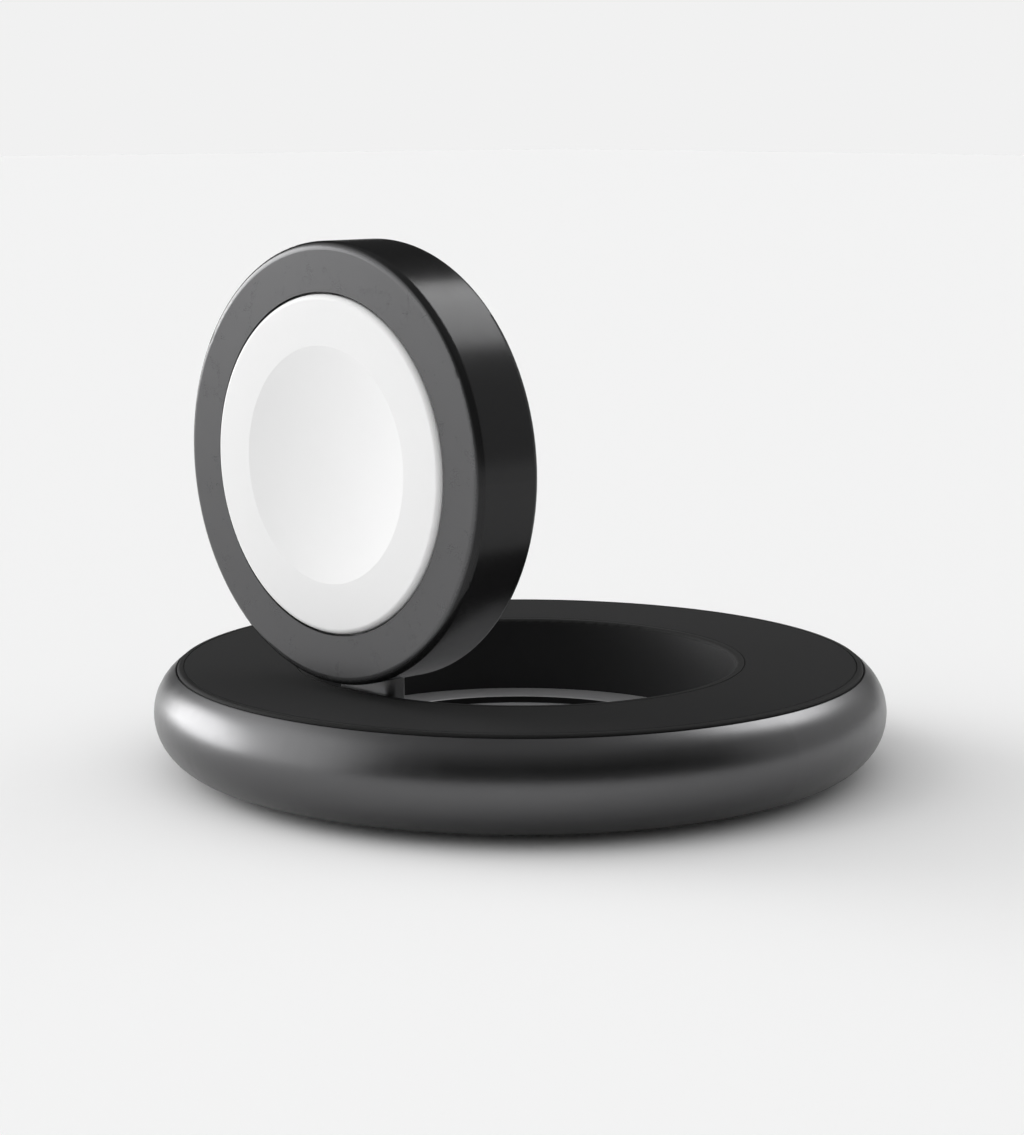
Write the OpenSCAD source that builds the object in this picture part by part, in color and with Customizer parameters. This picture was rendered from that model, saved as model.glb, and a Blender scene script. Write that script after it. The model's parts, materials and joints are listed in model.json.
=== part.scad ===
// Folding wireless charging stand for a smartwatch. A ring-shaped base has a round well, and a charging
// puck stands beside the well on a hinged arm. The puck folds through 90 degrees and then lies flush in
// the well, face up. The origin is the centre of the base on the table. +Z is up, the charging face looks
// along -Y, the hinge pin runs along X, and the power inlet is at +Y.

/* [Charging face] */
// Diameter of the white charging cap
cap_d = 29.5; // [27:0.5:36]
// How far the cap stands out of the metal face
cap_proud = 0.35; // [0.2:0.05:0.5]
// Diameter of the hollow that centres the watch
dish_d = 20.7; // [16:0.1:22]
// Depth of the hollow
dish_depth = 0.9; // [0.5:0.1:1.1]

/* [Puck] */
// Width of the metal face from the cap to the outside
face_w = 4.55; // [4.3:0.05:6]
// Thickness of the puck from the metal face to the back
puck_t = 6.95; // [6.8:0.05:8.5]
// Thickness of the metal face
face_t = 1.2; // [0.9:0.1:1.4]
// Thickness of the side wall
puck_wall = 1.5; // [1.2:0.1:1.8]
// Thickness of the back cover
back_t = 1; // [0.8:0.1:1.2]
// Rounding of the front edge
front_round = 0.75; // [0.4:0.05:1]
// Rounding of the back edge
back_round = 0.65; // [0.4:0.05:0.9]

/* [Base] */
// Width of the base from the well to the outside
rim_w = 13.9; // [13.5:0.1:18]
// Gap between the folded puck and the wall of the well
well_gap = 0.8; // [0.5:0.1:1]
// Wall of the metal ring
shell_wall = 1.4; // [1:0.1:1.8]
// Wall of the well
well_wall = 0.9; // [0.8:0.1:1.2]
// Thickness of the soft pad on top
pad_t = 0.3; // [0.2:0.05:0.35]
// Width of the seat that the folded puck lies over
seat_w = 3.75; // [2.5:0.25:5]
// Drop from the seat to the floor of the well
seat_step = 0.7; // [0.4:0.1:0.8]
// How far the foot stands out below the base
foot_h = 0.6; // [0.4:0.1:1]

/* [Hinge] */
// Gap between the upright puck and the top of the base
puck_gap = 1; // [0.8:0.1:1.5]
// Depth of the hinge pin below the top of the base
pin_depth = 1.5; // [1.4:0.05:1.7]
// Diameter of the hinge pin
pin_d = 1; // [0.8:0.1:1]
// Width of the arm
arm_w = 7; // [6:0.5:9]
// Thickness of the upright leg of the arm
leg_t = 1.95; // [1.7:0.05:2.1]

/* [Power inlet] */
// Width of the metal shell of the inlet
inlet_w = 8.94; // [8.9:0.01:9]
// Height of the metal shell of the inlet
inlet_h = 3.2; // [3.1:0.05:3.3]
// Length of the metal shell of the inlet
inlet_l = 7.3; // [6.5:0.1:8]

/* [Hidden] */
$fn = 96;
cut = 1;

// Clearances: between pieces that are pushed together, between laid-in pieces, and round a screw's shank
fit = 0.05;
laid_fit = 0.03;
shank_clear = 0.1;

// Puck, measured from its own axis and from its front face
cap_r = cap_d / 2;
puck_r = cap_r + face_w;
puck_in = puck_r - puck_wall;
face_hole_r = cap_r + 0.2;
cap_back = 1.5;
cap_round = 0.5;
flange_w = 0.9;
flange_r = cap_r + 0.5;
flange_back = face_t + 0.7;
cover_w = puck_t - back_t;
cover_lip = 0.45;
cover_seat_r = puck_in + cover_lip;
hook_t = 0.7;
hook_reach = 0.12;

// Heights in the base
centre_t = 0.65;
dish_t = 0.6;
seat_clear = 0.1;
floor_z = foot_h + centre_t + dish_t;
seat_z = floor_z + seat_step;
base_h = seat_z + seat_clear + puck_t;
edge_r = base_h / 2;
edge_z = foot_h + edge_r;
plate_top = foot_h + 1.2;
shelf_low = foot_h + 1;
shelf_top = foot_h + 1.8;
groove_d = 0.4;
skin_top = base_h - pad_t;
cover_low = base_h - 1.2;
cover_seat_t = 1;
cover_blind = 0.4;

// Radii in the base
well_r = puck_r + well_gap;
well_out = well_r + well_wall;
base_r = well_r + rim_w;
edge_x = base_r - edge_r;
land_drop = 0.3;
land_z = base_h - land_drop;
land_r = edge_x + sqrt(edge_r ^ 2 - (land_z - edge_z) ^ 2);
cover_bore_r = land_r - 0.1;
cover_r = cover_bore_r - 0.08;
pad_out = cover_r - 0.6;
pad_in = well_r + 0.8;
throat_r = cover_bore_r - 1;
skirt_w = 0.65;
lip_r = edge_x - 1;
shelf_r = lip_r - 1.2;
seat_in = well_r - seat_w;
dish_out = well_out + 0.2;
foot_out = lip_r - 1;
foot_in = well_out + 0.5;
rim_round = 0.35;
pad_round = 0.12;
seat_round = 0.15;
foot_round = 0.25;

// Hinge: the pin lies as far outside the puck as it lies below its edge, so the folded puck is flush
// and centred
pin_y = -(puck_r + puck_gap + pin_depth);
pin_z = base_h - pin_depth;
pin_r = pin_d / 2;
knuckle_wall = 0.35;
knuckle_r = pin_r + knuckle_wall;
run_clear = 0.03;
puck_front_y = pin_y - pin_depth;
puck_z = base_h + puck_gap + puck_r;
leg_back = cover_w;
leg_front = leg_back - leg_t;
leg_front_y = puck_front_y + leg_front;
leg_back_y = puck_front_y + leg_back;
tab_t = 1.2;
knee_r = 1.2;
leg_round = 0.7;
leg_back_round = 0.4;
arm_side = 0.05;
slot_w = arm_w + 0.5;
reach = sqrt((leg_back - pin_depth) ^ 2 + knuckle_r ^ 2);
slot_low = pin_z - reach - 0.3;
skin_low = pin_z + knuckle_r + 0.1;
flat_y = well_r - 0.25;
flat_chamfer = 0.3;
flat_half = sqrt((well_r + rim_round) ^ 2 - (flat_y + flat_chamfer) ^ 2) + 0.3;
pin_chamfer = 0.12;
washer_t = 0.5;
washer_steel = 0.3;
side_play = 0.02;
ear_in = arm_w / 2 + washer_t + 2 * side_play;
ear_t = 1.3;
ear_out = ear_in + ear_t;
pin_end = ear_out + 0.25;
recess_w = pin_end + 0.1;
recess_front_y = -sqrt(well_out ^ 2 - recess_w ^ 2) - 0.25;
web_t = 0.9;
web_front_y = pin_y - knuckle_r - 0.4;
web_back_y = web_front_y - web_t;
bracket_low = pin_z - 3.5;
bracket_foot_top = pin_z - 1.7;
bracket_foot_t = 1.1;
bracket_foot_r = 1.8;
bracket_screw = [ear_out + 2.05, pin_y - 1.8];

// Screws: head radius, head height, shank radius
small_head_r = 1;
small_head_h = 0.6;
small_shank_r = 0.6;
mid_head_r = 1.3;
mid_head_h = 0.6;
mid_shank_r = 0.75;
big_head_r = 1.7;
big_head_h = 0.6;
big_shank_r = 1;

// Twin-core lead: the jackets of its two cores are joined along their length
lead_r = 0.3;
lead_gap = -0.04;
lead_ring_r = well_out + 0.55;

// Posts and bosses. The four posts stand between the lead and the shelf.
post_in = lead_ring_r + lead_r + 0.35;
post_out = shelf_r - 0.2;
post_r = (post_out - post_in) / 2;
post_ring_r = (post_in + post_out) / 2;
post_angles = [35, 145, 215, 325];
board_post_r = 1.8;
board_post_angles = [62, 118];
boss_r = 1.2;
bracket_boss_r = 1.6;
boss_ring_r = puck_in - boss_r + 0.15;
carrier_angles = [20, 160, 270];
arm_screw_x = 2.2;

// Charging module, as depths behind the front face
coil_in = 5.9;
coil_out = cap_r - 3.1;
coil_front = cap_back + fit;
coil_t = 1.25;
core_wall = 0.7;
core_floor_t = 0.65;
core_in = coil_in - 0.15 - core_wall;
core_out = coil_out + 0.15 + core_wall;
core_back = coil_front + coil_t + fit + core_floor_t;
notch_w = 1.6;
yoke_r = core_in - fit;
yoke_wall = 0.4;
magnet_r = yoke_r - yoke_wall;
magnet_t = 1.7;
magnet_front = coil_front + fit;
carrier_t = 0.6;
carrier_back = core_back + carrier_t;
puck_board_r = flange_r - 0.85;
puck_board_front = carrier_back + fit;
puck_board_back = puck_board_front + 0.6;
stake_r = 0.5;
stake_ring_r = puck_board_r - 1.5;

// Main circuit board
board_top = edge_z - inlet_h / 2;
board_t = 0.8;
board_in = well_out + 1.1;
board_out = throat_r - 0.7;
board_half_angle = 42;
inlet_mouth_y = base_r - 0.5;
inlet_sheet = 0.3;
inlet_floor_t = 0.8;
inlet_clear = 0.15;
tongue_w = 6.7;
tongue_t = 0.7;
tongue_set_back = 1.2;
tongue_root_l = 1.3;
tongue_root_t = 1.2;

// Weights
weight_in = well_out + 1.2;
weight_out = throat_r - 0.9;
weight_half_angle = 27;
weight_top = cover_low - 0.2;

// Way of the lead through the base
lead_z = shelf_top + 1.3;
lead_angle = 128;
lead_socket_r = board_in + 1;
lead_turn_angle = 242;
lead_exit_z = bracket_low + 1.2;
core_sides = 8;

// Shared shapes
module at(angle, r) rotate(angle) translate([r, 0, 0]) children();

function polar(angle, r, z) = [r * cos(angle), r * sin(angle), z];
function lerp(a, b, share) = a + (b - a) * share;

module box_2d(x0, x1, y0, y1) translate([x0, y0]) square([x1 - x0, y1 - y0]);

module box(x0, x1, y0, y1, z0, z1) translate([x0, y0, z0]) cube([x1 - x0, y1 - y0, z1 - z0]);

module rod(r, z0, z1) translate([0, 0, z0]) cylinder(r = r, h = z1 - z0);

module ring(r_out, r_in, z0, z1) difference() {
    rod(r_out, z0, z1);
    rod(r_in, z0 - cut, z1 + cut);
}

module stadium(w, h) {
    square([w - h, h], center = true);
    for (side = [-1, 1]) translate([side * (w - h) / 2, 0]) circle(d = h);
}

// What is cut off a square outer corner at [x, y] to round it, with the corner pointing along the two signs
module corner_waste(x, y, r, sx, sy) translate([x, y]) scale([sx, sy]) difference() {
    translate([-r, -r]) square(r + cut);
    translate([-r, -r]) circle(r = r);
}

// Places children in the puck's own frame: z is the depth behind the front face, and +y points down to
// the hinge
module in_puck() translate([0, puck_front_y, puck_z]) rotate([-90, 0, 0]) children();

// Places children at the screws of the hinge bracket
module at_bracket_screws() for (side = [-1, 1])
    translate([side * bracket_screw.x, bracket_screw.y, 0]) children();

// Places children at the screws of the arm, in the puck's own frame
module at_arm_screws() for (side = [-1, 1]) translate([side * arm_screw_x, boss_ring_r, 0]) children();

// Places children along X, with their own x and y as the stand's Y and Z
module along_x(x0, x1) translate([x0, 0, 0]) rotate([90, 0, 90]) linear_extrude(x1 - x0) children();

module screw(head_r, head_h, shank_r, length) {
    rod(head_r, -head_h, 0);
    rod(shank_r, -head_h / 2, length);
}

// Round core swept along points. No stretch of it may run along the reference direction.
function unit(v) = v / norm(v);
function run(points, i) = unit(points[min(i + 1, len(points) - 1)] - points[max(i - 1, 0)]);
function core_ring(centre, along, reference, r) =
    let (side = unit(cross(reference, along)), up = cross(along, side))
    [for (k = [0 : core_sides - 1]) let (turn = k * 360 / core_sides)
        centre + r * (cos(turn) * side + sin(turn) * up)];

module strand(points, r, reference) {
    last = len(points) - 1;
    rings = [for (i = [0 : last]) core_ring(points[i], run(points, i), reference, r)];
    sides = [
        for (i = [0 : last - 1]) for (k = [0 : core_sides - 1])
            let (a = i * core_sides + k, b = i * core_sides + (k + 1) % core_sides)
            each [[a, a + core_sides, b], [b, a + core_sides, b + core_sides]]
    ];
    start_cap = [for (k = [0 : core_sides - 1]) k];
    end_cap = [for (k = [core_sides - 1 : -1 : 0]) last * core_sides + k];
    polyhedron([for (one = rings) each one], concat(sides, [start_cap], [end_cap]));
}

// Metal ring with a full round side. It has a shelf inside for the bottom cover and a seat for the top
// cover.
module shell_profile() difference() {
    translate([edge_x, edge_z]) circle(r = edge_r);
    box_2d(0, base_r, land_z, base_h + cut);
    box_2d(0, cover_bore_r, cover_low, base_h);
    box_2d(0, throat_r, shelf_top, base_h);
    box_2d(0, shelf_r, 0, base_h);
    box_2d(0, lip_r, 0, shelf_low);
    intersection() {
        translate([edge_x, edge_z]) circle(r = edge_r - shell_wall);
        box_2d(0, base_r, shelf_top, cover_low - cover_seat_t);
    }
}

module inlet_opening(clear, y0, y1) translate([0, y1, edge_z]) rotate([90, 0, 0])
    linear_extrude(y1 - y0) stadium(inlet_w + 2 * clear, inlet_h + 2 * clear);

// Chamfer round the mouth of the opening: a cone at each end and a wedge between them
module inlet_chamfer() {
    half = inlet_h / 2 + inlet_clear;
    straight = (inlet_w - inlet_h) / 2;
    y0 = base_r - 0.7;
    for (side = [-1, 1]) translate([side * straight, y0, edge_z]) rotate([-90, 0, 0])
        cylinder(r1 = half, r2 = half + cut, h = cut);
    along_x(-straight, straight) polygon([
        [y0, edge_z - half], [y0 + cut, edge_z - half - cut],
        [y0 + cut, edge_z + half + cut], [y0, edge_z + half]
    ]);
}

module base_shell() color("#38383b") difference() {
    rotate_extrude() shell_profile();
    inlet_opening(inlet_clear, edge_x, base_r + cut);
    inlet_chamfer();
}

// Top cover and wall of the well, moulded in one piece
module cover_profile() difference() {
    union() {
        box_2d(well_r, cover_r, cover_low, skin_top);
        box_2d(well_r, well_out, seat_z, skin_top);
        box_2d(well_r, pad_in - laid_fit, skin_top - cut / 2, base_h);
        box_2d(pad_out + laid_fit, cover_r, skin_top - cut / 2, base_h);
        box_2d(throat_r - fit - skirt_w, throat_r - fit, cover_low - cover_seat_t, cover_low + cut / 2);
    }
    translate([well_r, 0]) mirror([1, 0]) corner_waste(0, base_h, rim_round, 1, 1);
    corner_waste(cover_r, base_h, land_drop, 1, 1);
}

// Straight stretch of the rim over the hinge, with a chamfer that clears the swinging puck
module rim_flat() along_x(-flat_half, flat_half) polygon([
    [-flat_y, skin_low], [-flat_y, base_h - flat_chamfer], [-flat_y - flat_chamfer, base_h],
    [-well_r - rim_round - laid_fit, base_h], [-well_r - rim_round - laid_fit, skin_low]
]);

module top_cover() color("#1b1b1d") difference() {
    union() {
        rotate_extrude() cover_profile();
        for (angle = post_angles) at(angle, post_ring_r) rod(post_r, plate_top + fit, cover_low + cut / 2);
        for (angle = board_post_angles) at(angle, post_ring_r)
            rod(board_post_r, board_top, cover_low + cut / 2);
        at_bracket_screws() rod(bracket_boss_r, bracket_foot_top, cover_low + cut / 2);
        rim_flat();
    }
    // Slot that the arm swings in, and the room above the knuckle and the ears
    box(-slot_w / 2, slot_w / 2, -well_out - cut, -flat_y + cut, slot_low, skin_low);
    box(-recess_w, recess_w, web_back_y - 0.2, recess_front_y, cover_low - cut, skin_low);
    for (angle = post_angles) at(angle, post_ring_r) rod(big_shank_r, 0, cover_low - 2 * cover_blind);
    for (angle = board_post_angles) at(angle, post_ring_r) rod(mid_shank_r, 0, cover_low - 1);
    at_bracket_screws() rod(mid_shank_r, 0, skin_top - cover_blind);
}

module top_pad() color("#2c2c2e") rotate_extrude() difference() {
    box_2d(pad_in, pad_out, skin_top, base_h);
    corner_waste(pad_out, base_h, pad_round, 1, 1);
    translate([pad_in, 0]) mirror([1, 0]) corner_waste(0, base_h, pad_round, 1, 1);
}

// Turned dish that closes the well: a seat for the folded puck around a lower floor
module well_dish() color("#4a4a4d") rotate_extrude() difference() {
    union() {
        box_2d(seat_in, dish_out, seat_z - dish_t, seat_z);
        box_2d(0, seat_in + dish_t, floor_z - dish_t, floor_z);
        box_2d(seat_in, seat_in + dish_t, floor_z - dish_t, seat_z);
    }
    translate([seat_in, 0]) mirror([1, 0]) corner_waste(0, seat_z, seat_round, 1, 1);
}

module bottom_cover() color("#222224") difference() {
    union() {
        rod(shelf_r - 0.1, foot_h, plate_top);
        rod(lip_r - fit, foot_h + 0.1, shelf_low);
        rod(dish_out + fit, foot_h, seat_z - dish_t);
        rod(dish_out + 0.6, foot_h, seat_z - 0.15);
    }
    // Pocket for the dish, groove for the foot and countersunk holes
    rod(seat_in + dish_t + fit, floor_z - dish_t, seat_z);
    rod(dish_out + fit, seat_z - dish_t, seat_z);
    ring(foot_out + fit, foot_in - fit, foot_h - cut, foot_h + groove_d);
    for (angle = post_angles) at(angle, post_ring_r) {
        rod(big_shank_r + shank_clear, 0, seat_z);
        translate([0, 0, foot_h + groove_d]) cylinder(r1 = big_head_r, r2 = big_shank_r, h = big_head_h);
    }
}

module foot_ring() color("#161617") rotate_extrude() difference() {
    box_2d(foot_in, foot_out, 0, foot_h + groove_d);
    corner_waste(foot_out, 0, foot_round, 1, -1);
    translate([foot_in, 0]) mirror([1, 0]) corner_waste(0, 0, foot_round, 1, -1);
}

module base_screws() color("silver") for (angle = post_angles) at(angle, post_ring_r) {
    translate([0, 0, foot_h + groove_d]) cylinder(r1 = big_head_r, r2 = big_shank_r, h = big_head_h);
    rod(big_shank_r, foot_h + groove_d + big_head_h / 2, cover_low - 1.2);
}

module steel_weights() color("slategray") for (middle = [0, 180])
    rotate(middle - weight_half_angle) rotate_extrude(angle = 2 * weight_half_angle) {
        box_2d(weight_in, shelf_r - 0.3, plate_top + laid_fit, weight_top);
        box_2d(weight_in, weight_out, shelf_top + 0.1, weight_top);
    }

module main_board() color("darkgreen") difference() {
    rotate(90 - board_half_angle) rotate_extrude(angle = 2 * board_half_angle)
        box_2d(board_in, board_out, board_top - board_t, board_top);
    for (angle = board_post_angles) at(angle, post_ring_r) rod(mid_shank_r + shank_clear, 0, base_h);
}

module board_screws() color("silver") for (angle = board_post_angles) at(angle, post_ring_r)
    translate([0, 0, board_top - board_t]) screw(mid_head_r, mid_head_h, mid_shank_r, 3);

// Socket for the power cable: a folded metal shell, closed behind, and the contact tongue inside
module inlet_shell() color("silver") difference() {
    inlet_opening(0, inlet_mouth_y - inlet_l, inlet_mouth_y);
    inlet_opening(-inlet_sheet, inlet_mouth_y - inlet_l + inlet_floor_t, inlet_mouth_y + cut);
}

// Contact tongue with its thicker root
module inlet_tongue() color("#101010") {
    root_y = inlet_mouth_y - inlet_l + inlet_floor_t;
    box(
        -tongue_w / 2, tongue_w / 2, root_y, inlet_mouth_y - tongue_set_back,
        edge_z - tongue_t / 2, edge_z + tongue_t / 2
    );
    box(
        -tongue_w / 2, tongue_w / 2, root_y, root_y + tongue_root_l,
        edge_z - tongue_root_t / 2, edge_z + tongue_root_t / 2
    );
}

module driver_chip() color("#151515") at(75, post_ring_r + 1)
    box(-2, 2, -2, 2, board_top, board_top + 0.8);

module power_coil() color("dimgray") at(106, post_ring_r + 0.5)
    box(-2, 2, -2, 2, board_top, board_top + 1.9);

module board_capacitors() color("tan") for (angle = [51 : 3.5 : 55])
    for (r = [board_in + 1.2, board_in + 3]) at(angle, r)
        box(-0.8, 0.8, -0.4, 0.4, board_top, board_top + 0.8);

// Two-core lead from the main board to the puck. It is in two stretches, with the slack at the pin left out.
module lead_socket() color("ivory") at(lead_angle, lead_socket_r)
    difference() {
        box(0, 2.4, -1.6, 1.6, board_top, board_top + 1.9);
        box(-cut, 1.6, -1.3, 1.3, board_top + 0.3, board_top + 1.6);
    }

module lead_plug() color("white") at(lead_angle, lead_socket_r)
    box(-0.5, 1.55, -1.25, 1.25, board_top + 0.35, board_top + 1.55);

module base_lead() color("darkred") for (core = [-0.5, 0.5]) {
    side = core * (2 * lead_r + lead_gap);
    plug_z = board_top + 0.95;
    strand(concat(
        [for (r = [lead_socket_r - 0.5, lead_ring_r + 0.5]) polar(lead_angle, r, plug_z + side)],
        [for (i = [1 : 4]) polar(lead_angle + 3 * i, lead_ring_r, lerp(plug_z, lead_z, i / 4) + side)],
        [
            for (i = [1 : 16])
                polar(lerp(lead_angle + 12, lead_turn_angle, i / 16), lead_ring_r, lead_z + side)
        ],
        [
            [-ear_out - 2, web_back_y - 0.5, lead_z + side], [-ear_out + 1, web_back_y - 1.4, lead_z + side],
            [-1.5, web_back_y - 1.6, lead_exit_z - 0.6 + side], [0, web_back_y - 0.8, lead_exit_z + side],
            [0, web_front_y, lead_exit_z + side]
        ]
    ), lead_r, [0, 0, 1]);
}

// Die-cast bracket: two ears that hold the pin, a web behind them and a foot on each side
module hinge_bracket() color("#5a5a5e") difference() {
    union() {
        for (side = [0, 1]) mirror([side, 0, 0]) {
            along_x(ear_in, ear_out) {
                translate([pin_y, pin_z]) circle(r = knuckle_r);
                box_2d(pin_y - knuckle_r, pin_y + knuckle_r, bracket_low, pin_z);
                box_2d(web_back_y, pin_y + knuckle_r, bracket_low, pin_z - 0.8);
            }
            translate([bracket_screw.x, bracket_screw.y, 0])
                rod(bracket_foot_r, bracket_foot_top - bracket_foot_t, bracket_foot_top);
            box(
                ear_out - 0.2, bracket_screw.x,
                bracket_screw.y - bracket_foot_r, bracket_screw.y + bracket_foot_r,
                bracket_foot_top - bracket_foot_t, bracket_foot_top
            );
        }
        box(-ear_out, ear_out, web_back_y, web_front_y, bracket_low, pin_z - 0.2);
    }
    along_x(-ear_out - cut, ear_out + cut) translate([pin_y, pin_z]) circle(r = pin_r);
    at_bracket_screws() rod(mid_shank_r + shank_clear, 0, base_h);
    translate([0, 0, lead_exit_z]) rotate([90, 0, 0]) cylinder(r = 2 * lead_r + 0.15, h = base_r);
}

module hinge_screws() color("silver") at_bracket_screws()
    translate([0, 0, bracket_foot_top - bracket_foot_t])
        screw(mid_head_r, mid_head_h, mid_shank_r, bracket_foot_t + 1.9);

// Turns a profile about the hinge axis: its x is the radius and its y lies along X
module about_pin(x) translate([x, pin_y, pin_z]) rotate([0, 90, 0]) rotate_extrude() children();

module hinge_pin() color("silver") about_pin(0) polygon([
    [0, -pin_end], [pin_r - pin_chamfer, -pin_end], [pin_r, -pin_end + pin_chamfer],
    [pin_r, pin_end - pin_chamfer], [pin_r - pin_chamfer, pin_end], [0, pin_end]
]);

// Conical spring washers: the wide end presses on the arm and the narrow end on the ear
module friction_washers() color("gainsboro") for (side = [0, 1]) mirror([side, 0, 0])
    about_pin(arm_w / 2 + side_play) polygon([
        [pin_r + run_clear, washer_t - washer_steel], [knuckle_r, 0],
        [knuckle_r, washer_steel], [pin_r + run_clear, washer_t]
    ]);

// Steel arm: a knuckle on the pin, a short reach under the rim, an upright leg and a thinner tab in the puck
tab_z = puck_z - puck_in;
tab_top = puck_z - boss_ring_r + boss_r;

module arm_side_profile() difference() {
    union() {
        translate([pin_y, pin_z]) circle(r = knuckle_r);
        box_2d(pin_y, leg_back_y, pin_z - knuckle_r, pin_z + knuckle_r);
        box_2d(leg_front_y, leg_back_y, pin_z - knuckle_r, tab_z);
        box_2d(leg_front_y, leg_front_y + tab_t, tab_z - cut, tab_top);
    }
    corner_waste(leg_back_y, pin_z - knuckle_r, knee_r, 1, -1);
    translate([pin_y, pin_z]) circle(r = pin_r + run_clear);
}

module arm_plan() {
    box_2d(-arm_w / 2, arm_w / 2, pin_y - knuckle_r, leg_front_y + leg_round);
    difference() {
        box_2d(-arm_w / 2, arm_w / 2, leg_front_y, leg_back_y);
        corner_waste(arm_w / 2, leg_back_y, leg_back_round, 1, 1);
        corner_waste(-arm_w / 2, leg_back_y, leg_back_round, -1, 1);
    }
}

module hinge_arm() color("#6b6b70") difference() {
    intersection() {
        along_x(-arm_w / 2, arm_w / 2) arm_side_profile();
        linear_extrude(puck_z) arm_plan();
    }
    // Rounded front edges of the leg, above the reach
    translate([0, 0, pin_z + knuckle_r]) linear_extrude(puck_z) {
        corner_waste(arm_w / 2, leg_front_y, leg_round, 1, -1);
        corner_waste(-arm_w / 2, leg_front_y, leg_round, -1, -1);
    }
    // Groove for the lead, down the back of the leg and along under the reach
    groove = 2 * lead_r + 0.1;
    box(-groove, groove, leg_back_y - groove, leg_back_y + cut, pin_z - knuckle_r - cut, tab_z + cut);
    box(-groove, groove, pin_y + knuckle_r, leg_back_y, pin_z - knuckle_r - cut, pin_z - knuckle_r + groove);
    in_puck() at_arm_screws() rod(small_shank_r + shank_clear, 0, puck_t);
}

module arm_screws() color("silver") in_puck() at_arm_screws()
    translate([0, 0, leg_front + tab_t]) mirror([0, 0, 1])
        screw(small_head_r, small_head_h, small_shank_r, tab_t + 2);

module arm_lead() color("darkred") for (side = [-1, 1]) {
    x = side * (lead_r + lead_gap / 2);
    y = leg_back_y - lead_r - 0.05;
    z = pin_z - knuckle_r + lead_r + 0.05;
    board_y = puck_front_y + puck_board_back + lead_r + laid_fit;
    strand([
        [x, pin_y + knuckle_r + 0.1, z], [x, y - 0.6, z], [x, y - 0.2, z + 0.2], [x, y, z + 0.6],
        [x, y, tab_top + 0.3], [x, board_y, tab_top + 1.4], [x, board_y, tab_top + 2.4]
    ], lead_r, [1, 0, 0]);
}

// Metal housing of the puck, with the face and the side wall in one piece
module puck_shell() color("#3c3c3f") in_puck() difference() {
    union() {
        rotate_extrude() difference() {
            box_2d(0, puck_r, 0, puck_t);
            corner_waste(puck_r, 0, front_round, 1, -1);
            corner_waste(puck_r, puck_t, back_round, 1, 1);
            box_2d(0, face_hole_r, -cut, puck_t + cut);
            box_2d(0, puck_in, face_t, puck_t + cut);
            box_2d(0, cover_seat_r, cover_w, puck_t + cut);
            box_2d(0, puck_in + 0.2, cover_w - 1, cover_w - 0.7);
        }
        for (angle = carrier_angles) at(angle, boss_ring_r) rod(boss_r, face_t - 0.1, core_back);
        at_arm_screws() rod(boss_r, face_t - 0.1, leg_front);
    }
    for (angle = carrier_angles) at(angle, boss_ring_r) rod(small_shank_r, face_t, puck_t);
    at_arm_screws() rod(small_shank_r, face_t, puck_t);
    // Slot for the arm, as deep as the wall is at the slot's ends
    slot_half = arm_w / 2 + arm_side;
    slot_in = sqrt(puck_in ^ 2 - slot_half ^ 2) - fit;
    box(-slot_half, slot_half, slot_in, puck_r + cut, leg_front - arm_side, leg_back + arm_side);
}

// Back cover, held by four hooks that snap into a groove in the side wall
module puck_back() color("#1e1e20") in_puck() {
    rotate_extrude() difference() {
        box_2d(0, cover_seat_r - fit, cover_w + fit, puck_t);
        corner_waste(cover_seat_r - fit, puck_t, 0.15, 1, 1);
    }
    for (angle = [45, 135, 220, 320]) rotate(angle - 9) rotate_extrude(angle = 18) {
        box_2d(puck_in - fit - hook_t, puck_in - fit, cover_w - 1.1, cover_w + 0.1);
        box_2d(puck_in - fit - hook_t, puck_in + hook_reach, cover_w - 0.96, cover_w - 0.74);
    }
}

// White cap with the hollow for the back of the watch, and a flange behind the metal face
module charge_cap() color("#ececec") in_puck() rotate_extrude() difference() {
    union() {
        box_2d(0, cap_r, -cap_proud, cap_back);
        box_2d(cap_r - flange_w, cap_r, 0, flange_back);
        box_2d(cap_r - flange_w, flange_r, face_t + laid_fit, flange_back);
    }
    corner_waste(cap_r, -cap_proud, cap_round, 1, -1);
    bowl_r = ((dish_d / 2) ^ 2 + dish_depth ^ 2) / (2 * dish_depth);
    translate([0, dish_depth - cap_proud - bowl_r]) circle(r = bowl_r, $fn = 360);
}

module charge_coil() color("#b5642c") in_puck()
    ring(coil_out, coil_in, coil_front, coil_front + coil_t);

// Pot core, open in front, with a notch at the top where the coil's ends leave
module ferrite_core() color("#3a3a3a") in_puck() difference() {
    rotate_extrude() {
        box_2d(core_in, core_out, core_back - core_floor_t, core_back);
        box_2d(core_in, core_in + core_wall, coil_front, core_back);
        box_2d(core_out - core_wall, core_out, coil_front, core_back);
    }
    box(
        -notch_w / 2, notch_w / 2, -core_out - cut, -coil_out + core_wall,
        coil_front - cut, core_back + cut
    );
}

module centre_magnet() color("silver") in_puck() rod(magnet_r, magnet_front, magnet_front + magnet_t);

module magnet_yoke() color("gray") in_puck() difference() {
    rod(yoke_r, magnet_front, carrier_back);
    rod(magnet_r, 0, magnet_front + magnet_t);
}

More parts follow.
